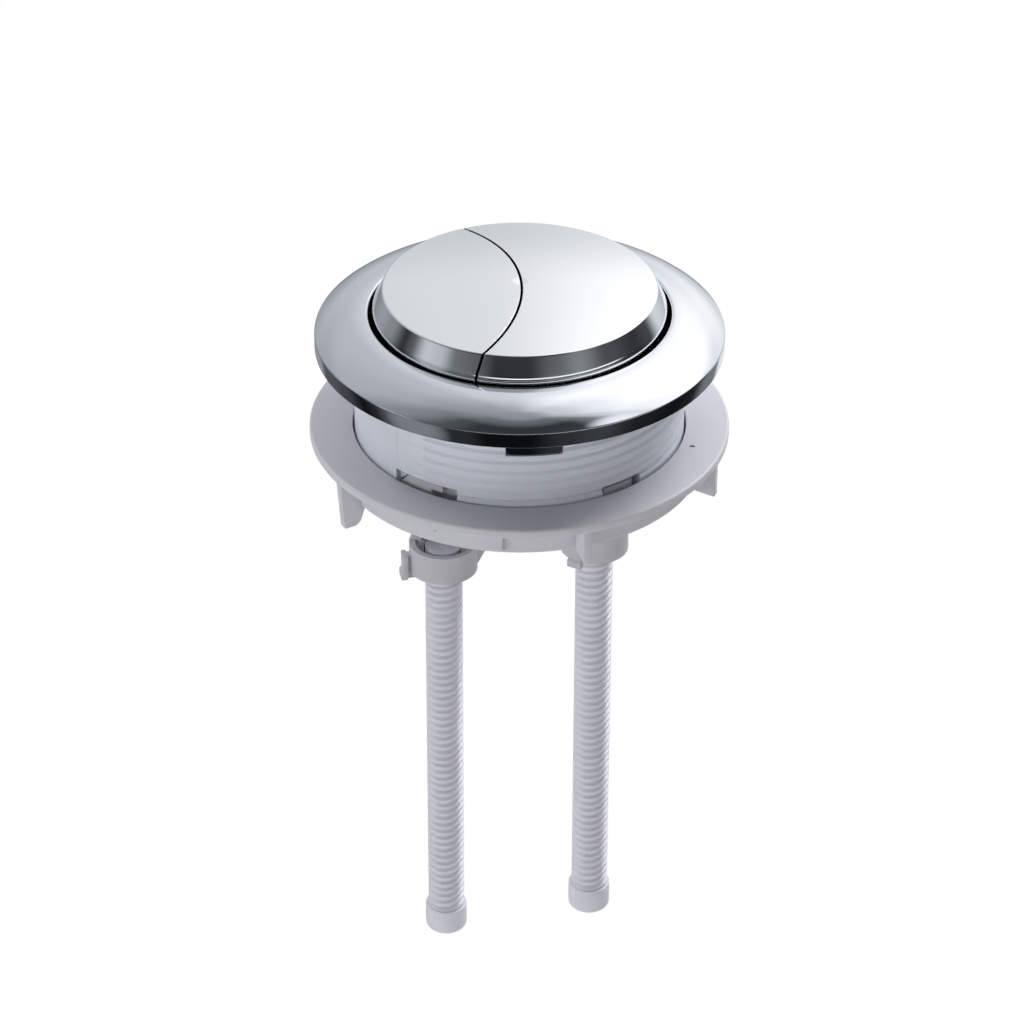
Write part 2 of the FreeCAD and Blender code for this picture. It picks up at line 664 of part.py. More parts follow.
def make_plunger(doc, s, label, side, socket_top):
    """A plunger: the plate under the cap, a hollow leg with one open side, and a split nose."""
    axis = s.rod_spread * side
    plate_bottom = s.button_ceiling - s.plate_thickness
    plate_radius = s.button_edge - s.button_wall - s.plate_play
    seam_offset = s.seam_gap / 2 + s.button_wall + s.plate_play
    disc = cylinder(doc, f"{label}_disc", plate_radius, plate_bottom, s.plate_thickness)
    if side < 0:
        plate = overlap(doc, f"{label}_plate", disc, seam_cylinder(doc, f"{label}_seam", s, -seam_offset))
    else:
        plate = cut(doc, f"{label}_plate", disc, seam_cylinder(doc, f"{label}_seam", s, seam_offset))

    nose_bottom = socket_top - s.ring_height
    lip_bottom = nose_bottom - s.lip_height
    leg_height = plate_bottom - socket_top + s.plate_thickness / 2
    leg = cylinder(doc, f"{label}_leg", s.leg_radius, socket_top, leg_height, x=axis)
    nose = cylinder(doc, f"{label}_nose", s.nose_radius, lip_bottom, s.ring_height + s.leg_radius, x=axis)
    lip = cylinder(doc, f"{label}_lip", s.nose_radius + s.nose_lip, lip_bottom, s.lip_height, x=axis)

    barb_top = s.ledge_height - s.barrel_depth - s.barb_play
    barb_ring = doc.addObject("Part::Cone", f"{label}_barb_ring")
    barb_radius = s.leg_radius + s.barb_reach
    bind(barb_ring, Radius1=s.leg_radius - s.barb_play, Radius2=barb_radius, Height=s.barb_height)
    place(barb_ring, x=axis, z=barb_top - s.barb_height)
    barb_bar = doc.addObject("Part::Box", f"{label}_barb_bar")
    bind(barb_bar, Length=barb_radius * 2, Width=s.barb_width, Height=s.barb_height)
    place(barb_bar, x=axis - barb_radius, y=-s.barb_width / 2, z=barb_top - s.barb_height)
    barbs = overlap(doc, f"{label}_barbs", barb_ring, barb_bar)
    solid = join(doc, f"{label}_solid", [plate, leg, nose, lip, barbs])

    # The open side faces the front under the small button and the back under the large one.
    slot = doc.addObject("Part::Box", f"{label}_slot")
    slot_height = -s.slot_depth - lip_bottom
    bind(slot, Length=s.leg_radius * 2, Width=s.leg_radius, Height=slot_height)
    turn = -s.slot_angle if side < 0 else as_size(HALF_TURN) - s.slot_angle
    far_edge = s.slot_offset + s.leg_radius
    slot_x = axis - s.leg_radius * cosine(turn) + far_edge * sine(turn)
    slot_y = -s.leg_radius * sine(turn) - far_edge * cosine(turn)
    place(slot, x=slot_x, y=slot_y, z=lip_bottom, turn=turn)
    bore = cylinder(doc, f"{label}_bore", s.leg_bore, socket_top, plate_bottom - socket_top, x=axis)
    rod_bore_height = s.ring_height + s.lip_height + s.leg_bore
    rod_bore = s.rod_radius + s.rod_play
    grip = cylinder(doc, f"{label}_grip", rod_bore, lip_bottom, rod_bore_height, x=axis)
    plunger = cut(doc, label, solid, join(doc, f"{label}_openings", [slot, bore, grip]))
    plunger.Label = label
    return plunger


def make_collar(doc, s, label, side, socket_top, lug_angle, lug_height):
    """The collar that closes the split nose on the rod, with a thumb lug and a stop block."""
    body = new_body(doc, label)
    bore = s.nose_radius + s.ring_play
    zero = as_size(0)
    corners = [
        (bore, zero),
        (s.ring_radius, zero),
        (s.ring_radius, s.ring_height),
        (bore + s.ring_chamfer, s.ring_height),
        (bore, s.ring_height - s.ring_chamfer),
    ]
    revolve(body, f"{label}_ring", corners)
    # Below the collar the lug clears the nose's lip.
    web_inside = s.nose_radius + s.nose_lip + s.ring_play * 2
    lug_top = s.ring_height - s.lug_shoulder
    lug_bottom = lug_top - lug_height
    lug_inside = s.lug_radius - s.lug_wall
    web = [
        (web_inside, lug_bottom),
        (lug_inside + s.lug_wall / 2, lug_bottom),
        (lug_inside + s.lug_wall / 2, lug_top),
        (web_inside, lug_top),
    ]
    web_sketch = new_sketch(body, f"{label}_web_outline", "XZ_Plane")
    draw_outline(web_sketch, web)
    pad(body, f"{label}_web", web_sketch, s.lug_web, symmetric=True)
    lug = [
        (lug_inside, lug_bottom),
        (s.lug_radius + s.lug_lip, lug_bottom),
        (s.lug_radius + s.lug_lip, lug_bottom + s.lug_lip_height),
        (s.lug_radius, lug_bottom + s.lug_lip_height + s.lug_lip),
        (s.lug_radius, lug_top),
        (lug_inside, lug_top),
    ]
    lug_sketch = new_sketch(body, f"{label}_lug_outline", "XZ_Plane")
    draw_outline(lug_sketch, lug)
    pad(body, f"{label}_lug", lug_sketch, s.lug_width, symmetric=True)
    stop = [
        (-s.stop_radius, s.ring_height - s.stop_height),
        (-s.ring_radius, s.ring_height - s.stop_height - s.stop_slope),
        (-web_inside, s.ring_height - s.stop_height - s.stop_slope),
        (-web_inside, s.ring_height),
        (-s.stop_radius, s.ring_height),
    ]
    stop_sketch = new_sketch(body, f"{label}_stop_outline", "XZ_Plane")
    draw_outline(stop_sketch, stop)
    pad(body, f"{label}_stop", stop_sketch, s.stop_width, symmetric=True)
    place(body, x=s.rod_spread * side, z=socket_top - s.ring_height, turn=lug_angle)
    return body


def make_rod(doc, s, label, side, top):
    """A rod with a moulded foot, modelled from the foot's face up."""
    body = new_body(doc, label)
    zero = as_size(0)
    corners = [
        (zero, zero),
        (s.foot_radius - s.foot_round, zero),
        (s.foot_radius, s.foot_round),
        (s.foot_radius, s.foot_height),
        (s.rod_radius, s.foot_height),
        (s.rod_radius, s.rod_length - s.rod_chamfer),
        (s.rod_radius - s.rod_chamfer, s.rod_length),
        (zero, s.rod_length),
    ]
    revolve(body, f"{label}_form", corners, {1: (s.foot_round, 1)})
    place(body, x=s.rod_spread * side, z=top - s.rod_length)
    return body


def make_spring(doc, s, label, side):
    """A return spring between the cage floor and the plunger's plate."""
    body = new_body(doc, label)
    sketch = new_sketch(body, f"{label}_wire", "XZ_Plane")
    wire = s.spring_wire / 2
    centre = Vector(s.spring_mean.value, wire.value, 0)
    edge = sketch.addGeometry(Part.Circle(centre, Vector(0, 0, 1), wire.value))
    fix(sketch, "Radius", edge, wire)
    fix(sketch, "DistanceX", -1, 1, edge, 3, s.spring_mean)
    fix(sketch, "DistanceY", -1, 1, edge, 3, wire)
    floor = s.ledge_height - s.barrel_depth + s.cage_floor
    ceiling = s.button_ceiling - s.plate_thickness
    coil = body.newObject("PartDesign::AdditiveHelix", f"{label}_coil")
    coil.Profile = sketch
    coil.ReferenceAxis = (sketch, ["V_Axis"])
    coil.Mode = "height-turns-angle"
    bind(coil, Height=ceiling - floor - s.spring_wire, Turns=s.spring_turns)
    place(body, x=s.rod_spread * side, z=floor)
    return body


def check(doc, parts):
    """Stop if any object failed, or a part isn't made of valid solids."""
    for thing in doc.Objects:
        if "Invalid" in thing.State or "Error" in thing.State:
            raise RuntimeError(f"{thing.Label} was not made: {thing.State}")
    for part in parts:
        shape = part.Shape
        if shape.isNull() or not shape.isValid() or not shape.Solids:
            raise RuntimeError(f"{part.Label} is not a valid solid")


def main():
    doc = FreeCAD.newDocument("CisternButton")
    s = write_sheet(doc)
    small_socket = -s.socket_depth
    large_socket = s.large_socket_rise - s.socket_depth
    blank, hollow = make_button_blanks(doc, s)
    parts = [
        make_bezel(doc, s),
        make_barrel(doc, s),
        make_cage(doc, s),
        make_nut(doc, s),
        make_small_button(doc, s, blank, hollow),
        make_large_button(doc, s, blank, hollow),
        make_plunger(doc, s, "small_plunger", -1, small_socket),
        make_plunger(doc, s, "large_plunger", 1, large_socket),
        make_collar(doc, s, "small_rod_collar", -1, small_socket, s.small_lug_angle, s.small_lug_height),
        make_collar(doc, s, "large_rod_collar", 1, large_socket, s.large_lug_angle, s.large_lug_height),
        make_rod(doc, s, "small_rod", -1, small_socket - s.small_rod_sink),
        make_rod(doc, s, "large_rod", 1, large_socket - s.large_rod_sink),
        make_spring(doc, s, "small_spring", -1),
        make_spring(doc, s, "large_spring", 1),
    ]
    doc.recompute()
    check(doc, parts)
    os.makedirs("parts", exist_ok=True)
    for part in parts:
        part.Shape.exportStep(f"parts/{part.Label}.step")
        print(f"{part.Label}: {len(part.Shape.Solids)} solid, {part.Shape.Volume:.0f} mm3")


main()
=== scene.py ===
"""A chrome and white dual flush push button for a cistern lid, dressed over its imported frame.

Lengths in outlines and tables are millimetres, and MM turns them into metres.
"""
import math

import bmesh
import bpy
from bpy.props import FloatProperty, FloatVectorProperty, IntProperty, PointerProperty
from mathutils import Matrix, Vector


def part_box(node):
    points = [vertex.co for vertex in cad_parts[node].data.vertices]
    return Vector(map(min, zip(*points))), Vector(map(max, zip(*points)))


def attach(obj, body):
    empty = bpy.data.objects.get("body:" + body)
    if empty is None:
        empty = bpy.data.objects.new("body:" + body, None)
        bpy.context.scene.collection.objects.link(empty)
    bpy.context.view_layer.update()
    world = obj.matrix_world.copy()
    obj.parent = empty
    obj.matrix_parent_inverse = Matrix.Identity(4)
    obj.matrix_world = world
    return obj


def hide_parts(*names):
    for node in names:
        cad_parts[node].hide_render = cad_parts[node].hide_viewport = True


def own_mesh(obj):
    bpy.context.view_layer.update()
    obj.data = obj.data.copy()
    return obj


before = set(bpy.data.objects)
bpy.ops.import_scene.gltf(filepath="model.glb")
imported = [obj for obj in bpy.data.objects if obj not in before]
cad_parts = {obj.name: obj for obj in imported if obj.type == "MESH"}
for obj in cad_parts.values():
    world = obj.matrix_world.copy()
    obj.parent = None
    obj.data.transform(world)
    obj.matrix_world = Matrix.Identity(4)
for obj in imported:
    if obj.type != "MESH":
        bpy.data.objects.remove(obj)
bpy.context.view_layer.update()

MM = 0.001
# Points nearer than this are one point, in metres.
SEAM_GAP = 0.001 * MM
# Both rods and both springs stand this far from the axis, in millimetres.
SPREAD = 13.5

bl_info = {
    "name": "Dual flush push button",
    "version": (1, 0, 0),
    "blender": (4, 5, 0),
    "location": "View3D > Sidebar > Push button",
    "description": "Builds the chrome ring, caps, threaded barrel, lock nut and rods of a flush button",
    "category": "Object",
}


# Colours and sizes that a user may change

def linear(hex_colour):
    """An sRGB hex colour as linear red, green, blue and alpha."""
    channels = [int(hex_colour[i:i + 2], 16) / 255 for i in (1, 3, 5)]
    return [c / 12.92 if c <= 0.04045 else ((c + 0.055) / 1.055) ** 2.4 for c in channels] + [1.0]


def length(name, description, millimetres):
    return FloatProperty(name=name, description=description, default=millimetres * MM,
                         min=0.0, unit="LENGTH", precision=5)


def angle(name, description, degrees):
    return FloatProperty(name=name, description=description, default=math.radians(degrees),
                         subtype="ANGLE")


def colour(name, description, hex_colour):
    return FloatVectorProperty(name=name, description=description, default=linear(hex_colour),
                               size=4, min=0.0, max=1.0, subtype="COLOR")


class ButtonSizes(bpy.types.PropertyGroup):
    """Sizes of the details that the pieces carry beyond the plain solids."""
    rod_pitch: length("Rod pitch", "Rise of the rods' thread in one turn", 1.5)
    rod_thread_depth: length("Rod thread depth", "From crest to root of the rods' thread", 0.5)
    barrel_pitch: length("Barrel pitch", "Rise of the barrel's thread in one turn", 2.0)
    barrel_thread_depth: length("Barrel thread depth", "From crest to root of the barrel's thread", 0.38)
    edge_softness: length("Moulded edge", "Rounding of the edges of moulded pieces", 0.15)
    spring_wire: length("Spring wire", "Thickness of the spring wire", 0.9)
    spring_turns: FloatProperty(name="Spring turns", description="Turns of each spring",
                                default=5.5, min=1.0)
    ring_steps: IntProperty(name="Ring steps", description="Sides of the large round pieces",
                            default=192, min=48)


class ButtonColours(bpy.types.PropertyGroup):
    """Colours of the finishes. The nut's, cage's, plungers' and collars' plastics are darkened copies, as
    painted shade, and the caps' plating is a brightened copy, as a painted highlight.
    """
    chrome: colour("Chrome", "Bright chromium plating of the ring", "#E6E8EC")
    # The caps' plating is a brighter copy of the ring's plating: the extra brightness is a painted highlight
    # that lifts the caps' reflections.
    cap_chrome_painted_highlight: colour("Cap chrome", "Bright chromium plating of the caps", "#F8F9FB")
    barrel_plastic: colour("Barrel plastic", "Polypropylene of the barrel", "#E0E4EE")
    # The nut's and cage's polypropylene is a darker copy of the barrel's: the darkening is painted shade for
    # the shade under the ring.
    nut_plastic: colour("Nut plastic", "Polypropylene of nut and cage", "#CFCFD7")
    rod_plastic: colour("Rod plastic", "Acetal of the rods", "#DCDCE6")
    # The plungers' and collars' acetal is a darker copy of the rods': the darkening is painted shade for the
    # shade under the nut.
    collar_plastic_painted_shade: colour("Collar plastic", "Acetal of plungers and collars", "#C0C0C5")
    spring_steel: colour("Spring steel", "Drawn stainless wire", "#B9B9BB")


class StageSettings(bpy.types.PropertyGroup):
    """Camera of the studio."""
    azimuth: angle("Camera azimuth", "Direction of the camera round the object", -5.04)
    pitch: angle("Camera pitch", "How far the camera looks down", 32.28)
    roll: angle("Camera roll", "Turn of the camera about its view", 0.144)
    distance: length("Camera distance", "From the lens to the origin, along the view", 690.9)
    aside: length("Camera aside", "How far the lens sits left of the origin's line", 1.243)
    below: length("Camera below", "How far the lens sits below the origin's line", 29.38)
    lens: FloatProperty(name="Lens", description="Focal length", default=140.625, unit="CAMERA")


# Tools for outlines and shells. Outlines lie in the XZ plane, as radius and height.

def arc(radius, height, degrees, steps):
    """A side of an outline that turns about this centre, anticlockwise if degrees is positive."""
    return {"centre": (radius * MM, 0, height * MM), "turn": math.radians(degrees), "steps": steps}


def parts_of(geometry, kind):
    """The parts of one kind, such as the edges, among the results of an operator."""
    return [part for part in geometry if isinstance(part, kind)]


def rotated(bm, degrees, axis="Z"):
    """Turn a whole mesh about one of the frame's axes."""
    bmesh.ops.rotate(bm, verts=bm.verts[:], cent=(0, 0, 0),
                     matrix=Matrix.Rotation(math.radians(degrees), 3, axis))
    return bm


def trace(bm, outline):
    """A face from corners (radius, height[, rounding]) in millimetres, with arcs between them."""
    verts = []
    rounded = {}
    for item in outline:
        if isinstance(item, dict):
            swept = bmesh.ops.spin(bm, geom=[verts[-1]], cent=item["centre"], axis=(0, -1, 0),
                                   angle=item["turn"], steps=item["steps"])
            verts.append(parts_of(swept["geom_last"], bmesh.types.BMVert)[0])
        else:
            vert = bm.verts.new((item[0] * MM, 0, item[1] * MM))
            if verts:
                bm.edges.new((verts[-1], vert))
            verts.append(vert)
            if len(item) > 2:
                rounded.setdefault(item[2], []).append(vert)
    bm.edges.new((verts[-1], verts[0]))
    loop = [edge for edge in bm.edges if edge.is_wire]
    bmesh.ops.contextual_create(bm, geom=loop)
    for rounding, corners in rounded.items():
        bmesh.ops.bevel(bm, geom=corners, offset=rounding * MM, offset_type="OFFSET", segments=5,
                        profile=0.5, affect="VERTICES", clamp_overlap=True, material=-1)
    return bm


def turned(outline, steps):
    """A closed shell: the outline turned full circle about the Z axis."""
    bm = trace(bmesh.new(), outline)
    bmesh.ops.delete(bm, geom=bm.faces[:], context="FACES_ONLY")
    bmesh.ops.spin(bm, geom=bm.verts[:] + bm.edges[:], cent=(0, 0, 0), axis=(0, 0, 1),
                   angle=math.tau, steps=steps, use_merge=True)
    return closed(bm)


def sector(outline, start, end, steps, rise=0.0):
    """A closed block: the outline turned from one angle to another, rising on the way if asked."""
    bm = trace(bmesh.new(), outline)
    return sweep(bm, start, end, steps, rise)


def sweep(bm, start, end, steps, rise=0.0):
    """Turn the face that a mesh holds into a block between two angles in degrees."""
    rotated(bm, start)
    bmesh.ops.spin(bm, geom=bm.verts[:] + bm.edges[:] + bm.faces[:], cent=(0, 0, 0), axis=(0, 0, 1),
                   angle=math.radians(end - start), steps=steps, dvec=(0, 0, rise * MM / steps))
    return closed(bm)


def plate(outline, thickness, direction):
    """A flat plate: the outline given a thickness and turned to stand out in one direction."""
    bm = trace(bmesh.new(), outline)
    bmesh.ops.translate(bm, verts=bm.verts[:], vec=(0, -thickness * MM / 2, 0))
    grown = bmesh.ops.extrude_face_region(bm, geom=bm.faces[:])
    verts = parts_of(grown["geom"], bmesh.types.BMVert)
    bmesh.ops.translate(bm, verts=verts, vec=(0, thickness * MM, 0))
    return closed(rotated(bm, direction))


def closed(bm):
    """Merge seams and poles, and point the faces outwards."""
    bmesh.ops.remove_doubles(bm, verts=bm.verts[:], dist=SEAM_GAP)
    bmesh.ops.dissolve_degenerate(bm, edges=bm.edges[:], dist=SEAM_GAP / 2)
    bmesh.ops.recalc_face_normals(bm, faces=bm.faces[:])
    return bm


def soften(bm, amount, sharper_than=50, wanted=lambda edge: True):
    """Round the edges of a shell that are sharper than an angle in degrees."""
    limit = math.radians(sharper_than)
    edges = [edge for edge in bm.edges
             if edge.is_manifold and edge.calc_face_angle(0) > limit and wanted(edge)]
    if edges:
        bmesh.ops.bevel(bm, geom=edges, offset=amount, offset_type="OFFSET", segments=2, profile=0.5,
                        affect="EDGES", clamp_overlap=True, material=-1)
    return bm


def level_end(bm, height, keep_above):
    """Cut a shell flat at a height and close the cut."""
    cut = bmesh.ops.bisect_plane(bm, geom=bm.verts[:] + bm.edges[:] + bm.faces[:], dist=SEAM_GAP / 10,
                                 plane_co=(0, 0, height * MM), plane_no=(0, 0, 1),
                                 clear_inner=keep_above, clear_outer=not keep_above)
    bmesh.ops.contextual_create(bm, geom=parts_of(cut["geom_cut"], bmesh.types.BMEdge))
    return bm


def shift(bm, across):
    """Move a shell along X by millimetres."""
    bmesh.ops.translate(bm, verts=bm.verts[:], vec=(across * MM, 0, 0))
    return bm


def add_shell(bm, other):
    """Put a second shell into the same mesh."""
    spare = bpy.data.meshes.new("spare")
    other.to_mesh(spare)
    other.free()
    bm.from_mesh(spare)
    bpy.data.meshes.remove(spare)
    return bm


def bare_object(bm, name):
    """An object in the scene with the shell as its mesh and no material."""
    mesh = bpy.data.meshes.new(name)
    bm.to_mesh(mesh)
    bm.free()
    item = bpy.data.objects.new(name, mesh)
    bpy.context.scene.collection.objects.link(item)
    return item


def carve(bm, *cuts):
    """Apply (operation, shell) pairs to a shell and give the shell that is left."""
    base = bare_object(bm, "carved")
    tools = []
    for operation, shell in cuts:
        tool = bare_object(shell, "carver")
        tools.append(tool)
        step = base.modifiers.new("carve", "BOOLEAN")
        step.operation = operation
        step.object = tool
        step.solver = "EXACT"
    graph = bpy.context.evaluated_depsgraph_get()
    mesh = bpy.data.meshes.new_from_object(base.evaluated_get(graph))
    result = bmesh.new()
    result.from_mesh(mesh)
    bpy.data.meshes.remove(mesh)
    for item in [base] + tools:
        spare = item.data
        bpy.data.objects.remove(item)
        bpy.data.meshes.remove(spare)
    return closed(result)


def make_piece(bm, name, body, replaced, material, sharp=32):
    """Turn a shell into a finished piece that stands for CAD nodes and rides on a body."""
    mesh = bpy.data.meshes.new(name)
    bm.to_mesh(mesh)
    bm.free()
    mesh.polygons.foreach_set("use_smooth", [True] * len(mesh.polygons))
    mesh.set_sharp_from_angle(angle=math.radians(sharp))
    piece = bpy.data.objects.new(name, mesh)
    bpy.context.scene.collection.objects.link(piece)
    piece.data.materials.append(material)
    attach(piece, body)
    if replaced:
        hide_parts(*replaced)
    return piece


# Materials

def node(tree, kind, links=None, **settings):
    """Add a node, set its properties and sockets, and link sockets to other nodes' outputs."""
    made = tree.nodes.new(kind)
    for name, value in settings.items():
        setattr(made, name, value)
    for socket, source in (links or {}).items():
        target = made.inputs[socket]
        if isinstance(source, bpy.types.NodeSocket):
            tree.links.new(source, target)
        else:
            target.default_value = source
    return made


def math_node(tree, operation, *values):
    """The result of one operation on up to three numbers or outputs."""
    return node(tree, "ShaderNodeMath", dict(enumerate(values)), operation=operation).outputs[0]


def seen_directly(tree):
    """One for rays from the camera or through a mirror or glass, and zero for all other rays."""
    path = node(tree, "ShaderNodeLightPath").outputs
    seen = math_node(tree, "MAXIMUM", path["Is Camera Ray"], path["Is Glossy Ray"])
    return math_node(tree, "MAXIMUM", seen, path["Is Transmission Ray"])


def new_material(name):
    material = bpy.data.materials.get(name)
    if material:
        return material, None, None
    material = bpy.data.materials.new(name)
    material.use_nodes = True
    tree = material.node_tree
    return material, tree, tree.nodes["Principled BSDF"]


def chromium_plated_abs(name, tint):
    """Bright chromium over moulded ABS: a mirror with the faint waviness of the plastic below."""
    material, tree, shader = new_material(name)
    if tree:
        shader.inputs["Base Color"].default_value = tint
        shader.inputs["Metallic"].default_value = 1.0
        place = node(tree, "ShaderNodeTexCoord").outputs["Object"]
        # The plating is polished. Wiping leaves patches about 12 mm wide that are a little duller.
        patches = node(tree, "ShaderNodeTexNoise", {"Vector": place, "Scale": 1 / (12 * MM), "Detail": 3.0})
        dull = node(tree, "ShaderNodeMapRange",
                    {"Value": patches.outputs["Fac"], "To Min": 0.045, "To Max": 0.085})
        tree.links.new(dull.outputs["Result"], shader.inputs["Roughness"])
        # Sink marks of the moulding, about 9 mm from crest to crest and a few thousandths deep.
        wave = node(tree, "ShaderNodeTexNoise", {"Vector": place, "Scale": 1 / (9 * MM), "Detail": 1.0})
        bump = node(tree, "ShaderNodeBump",
                    {"Height": wave.outputs["Fac"], "Strength": 0.02, "Distance": 0.2 * MM})
        tree.links.new(bump.outputs["Normal"], shader.inputs["Normal"])
    return material


def moulded_plastic(name, tint, roughness, grain_mm):
    """White injection-moulded plastic: a satin skin with fine mould grain and slight clouding."""
    material, tree, shader = new_material(name)
    if tree:
        place = node(tree, "ShaderNodeTexCoord").outputs["Object"]
        # Clouding of the melt, in patches about 15 mm wide, darkens the colour by a few percent.
        clouds = node(tree, "ShaderNodeTexNoise", {"Vector": place, "Scale": 1 / (15 * MM), "Detail": 4.0})
        shade = node(tree, "ShaderNodeMapRange",
                     {"Value": clouds.outputs["Fac"], "To Min": 0.93, "To Max": 1.03})
        tinted = node(tree, "ShaderNodeVectorMath", {0: tint[:3], "Scale": shade.outputs["Result"]},
                      operation="SCALE")
        tree.links.new(tinted.outputs["Vector"], shader.inputs["Base Color"])
        shader.inputs["IOR"].default_value = 1.49
        shader.inputs["Subsurface Weight"].default_value = 0.12
        shader.inputs["Subsurface Radius"].default_value = (1.0, 0.9, 0.8)
        shader.inputs["Subsurface Scale"].default_value = 0.8 * MM
        # Grain left by the spark-eroded mould, and the roughness that goes with it.
        grain = node(tree, "ShaderNodeTexNoise",
                     {"Vector": place, "Scale": 1 / (grain_mm * MM), "Detail": 2.0})
        matt = node(tree, "ShaderNodeMapRange",
                    {"Value": grain.outputs["Fac"], "To Min": roughness - 0.06, "To Max": roughness + 0.06})
        tree.links.new(matt.outputs["Result"], shader.inputs["Roughness"])
        bump = node(tree, "ShaderNodeBump",
                    {"Height": grain.outputs["Fac"], "Strength": 0.12, "Distance": 0.04 * MM})
        tree.links.new(bump.outputs["Normal"], shader.inputs["Normal"])
    return material


def polypropylene_barrel():
    tint = bpy.context.scene.button_colours.barrel_plastic
    return moulded_plastic("moulded_polypropylene_barrel", tint, 0.42, 0.5)


# A darker copy of the barrel's polypropylene: the darkening is painted shade for the shade under the ring.
def polypropylene_painted_shade():
    tint = bpy.context.scene.button_colours.nut_plastic
    return moulded_plastic("moulded_polypropylene_painted_shade", tint, 0.42, 0.5)


def acetal_rod():
    tint = bpy.context.scene.button_colours.rod_plastic
    return moulded_plastic("moulded_acetal_rod", tint, 0.38, 0.4)


# A darker copy of the rods' acetal: the darkening is painted shade for the shade under the nut.
def acetal_collar_painted_shade():
    tint = bpy.context.scene.button_colours.collar_plastic_painted_shade
    return moulded_plastic("moulded_acetal_collar_painted_shade", tint, 0.45, 0.4)


def drawn_stainless_wire():
    """Stainless spring wire: a drawn metal surface, a little uneven in its polish."""
    material, tree, shader = new_material("drawn_stainless_wire")
    if tree:
        shader.inputs["Base Color"].default_value = bpy.context.scene.button_colours.spring_steel
        shader.inputs["Metallic"].default_value = 1.0
        place = node(tree, "ShaderNodeTexCoord").outputs["Object"]
        # Fine streaks about 0.3 mm apart vary the roughness as die lines do.
        lines = node(tree, "ShaderNodeTexNoise", {"Vector": place, "Scale": 1 / (0.3 * MM), "Detail": 2.0})
        rough = node(tree, "ShaderNodeMapRange",
                     {"Value": lines.outputs["Fac"], "To Min": 0.22, "To Max": 0.38})
        tree.links.new(rough.outputs["Result"], shader.inputs["Roughness"])
    return material


# Pieces

class MakeRing(bpy.types.Operator):
    """Chrome ring: a domed shell with an upright rim, an inner collar and three snap tabs"""
    bl_idname = "flush_button.make_ring"
    bl_label = "Chrome ring"

    TAB_DIRECTIONS = (-90, 30, 150)
    TAB_WIDTH = 9.4
    TAB_RADIUS = 28.6

    def at_foot(self, edge):
        """Whether an edge of a tab is one of the two that cross its thickness at the foot."""
        inner, outer = sorted(vert.co.xy.length for vert in edge.verts)
        return outer - inner > 1 * MM and edge.verts[0].co.z < -5 * MM

    def execute(self, context):
        steps = context.scene.button_sizes.ring_steps
        shell = turned([
            (26.1, -2.0, 0.1),
            (26.85, -2.0, 0.1),
            (26.85, 4.6),
            (33.7, 2.1),
            (33.7, 0.0, 0.12),
            (35.4, 0.0, 0.18),
            (35.4, 2.56),
            arc(35.0, 2.56, 48.6, 8),
            arc(26.006, -7.641, 39.38, 28),
            arc(26.5, 5.95, 90, 8),
        ], steps)
        side = [(26.5, -5.4), (self.TAB_RADIUS, -5.4), (self.TAB_RADIUS, 4.4), (26.5, 4.4)]
        half = math.degrees(self.TAB_WIDTH / 2 / self.TAB_RADIUS)
        for direction in self.TAB_DIRECTIONS:
            tab = sector(side, direction - half, direction + half, 16)
            soften(tab, 0.9 * MM, wanted=self.at_foot)
            add_shell(shell, tab)
        make_piece(shell, "chrome_ring", "housing", ["bezel"],
                   chromium_plated_abs("chromium_plated_ring", context.scene.button_colours.chrome))
        return {"FINISHED"}


class MakeCaps(bpy.types.Operator):
    """Small and large button caps, parted by a curved seam"""
    bl_idname = "flush_button.make_caps"
    bl_label = "Button caps"

    # The seam is an arc about this place on the X axis.
    SEAM_CENTRE = -33.6
    SEAM_RADIUS = 33.8
    SEAM_SOFTNESS = 0.14

    def blank(self, steps):
        """Both caps in one, as a solid dome with a bent skirt."""
        return turned([
            (0, -3),
            (25.5, -3, 0.2),
            (25.5, 5.0),
            (25.35, 7.3, 0.5),
            (23.723, 10.525),
            arc(23.321, 10.322, 56.98, 8),
            arc(0, -202.957, 6.240, 14),
        ], steps)

    def hollow(self, steps):
        """The room inside both caps."""
        return turned([(0, -4.3), (24.2, -4.3), (24.2, 6.0), (22.34, 9.3), (0, 9.3)], steps)

    def seam(self, offset):
        """A tall disc about the seam's centre, larger than the seam by an offset."""
        radius = self.SEAM_RADIUS + offset
        return shift(turned([(0, -8), (radius, -8), (radius, 20), (0, 20)], 480), self.SEAM_CENTRE)

    def flatten(self, cap):
        """Keep the small roundings from bending the shading of the large faces beside them."""
        shading = cap.modifiers.new("weighted_shading", "WEIGHTED_NORMAL")
        shading.keep_sharp = True
        shading.weight = 100

    def on_seam(self, edge):
        """Whether an edge of a cap lies on its seam wall, above the skirt's foot."""
        reach = [math.hypot(v.co.x / MM - self.SEAM_CENTRE, v.co.y / MM) for v in edge.verts]
        return all(abs(r - self.SEAM_RADIUS) < 0.3 for r in reach) and all(v.co.z > 0 for v in edge.verts)

    def execute(self, context):
        steps = context.scene.button_sizes.ring_steps
        # The caps use the brighter copy of the plating, whose extra brightness is a painted highlight.
        plating = chromium_plated_abs("chromium_plated_caps_painted_highlight", context.scene.button_colours.cap_chrome_painted_highlight)
        half_gap = 0.225
        wall = 1.3
        inside = carve(self.hollow(steps), ("INTERSECT", self.seam(-half_gap - wall)))
        small = carve(self.blank(steps), ("INTERSECT", self.seam(-half_gap)), ("DIFFERENCE", inside))
        soften(small, self.SEAM_SOFTNESS * MM, 40, self.on_seam)
        self.flatten(make_piece(small, "small_cap", "small_push", ["small_button"], plating))
        inside = carve(self.hollow(steps), ("DIFFERENCE", self.seam(half_gap + wall)))
        large = carve(self.blank(steps), ("DIFFERENCE", self.seam(half_gap)), ("DIFFERENCE", inside))
        soften(large, self.SEAM_SOFTNESS * MM, 40, self.on_seam)
        self.flatten(make_piece(large, "large_cap", "large_push", ["large_button"], plating))
        return {"FINISHED"}


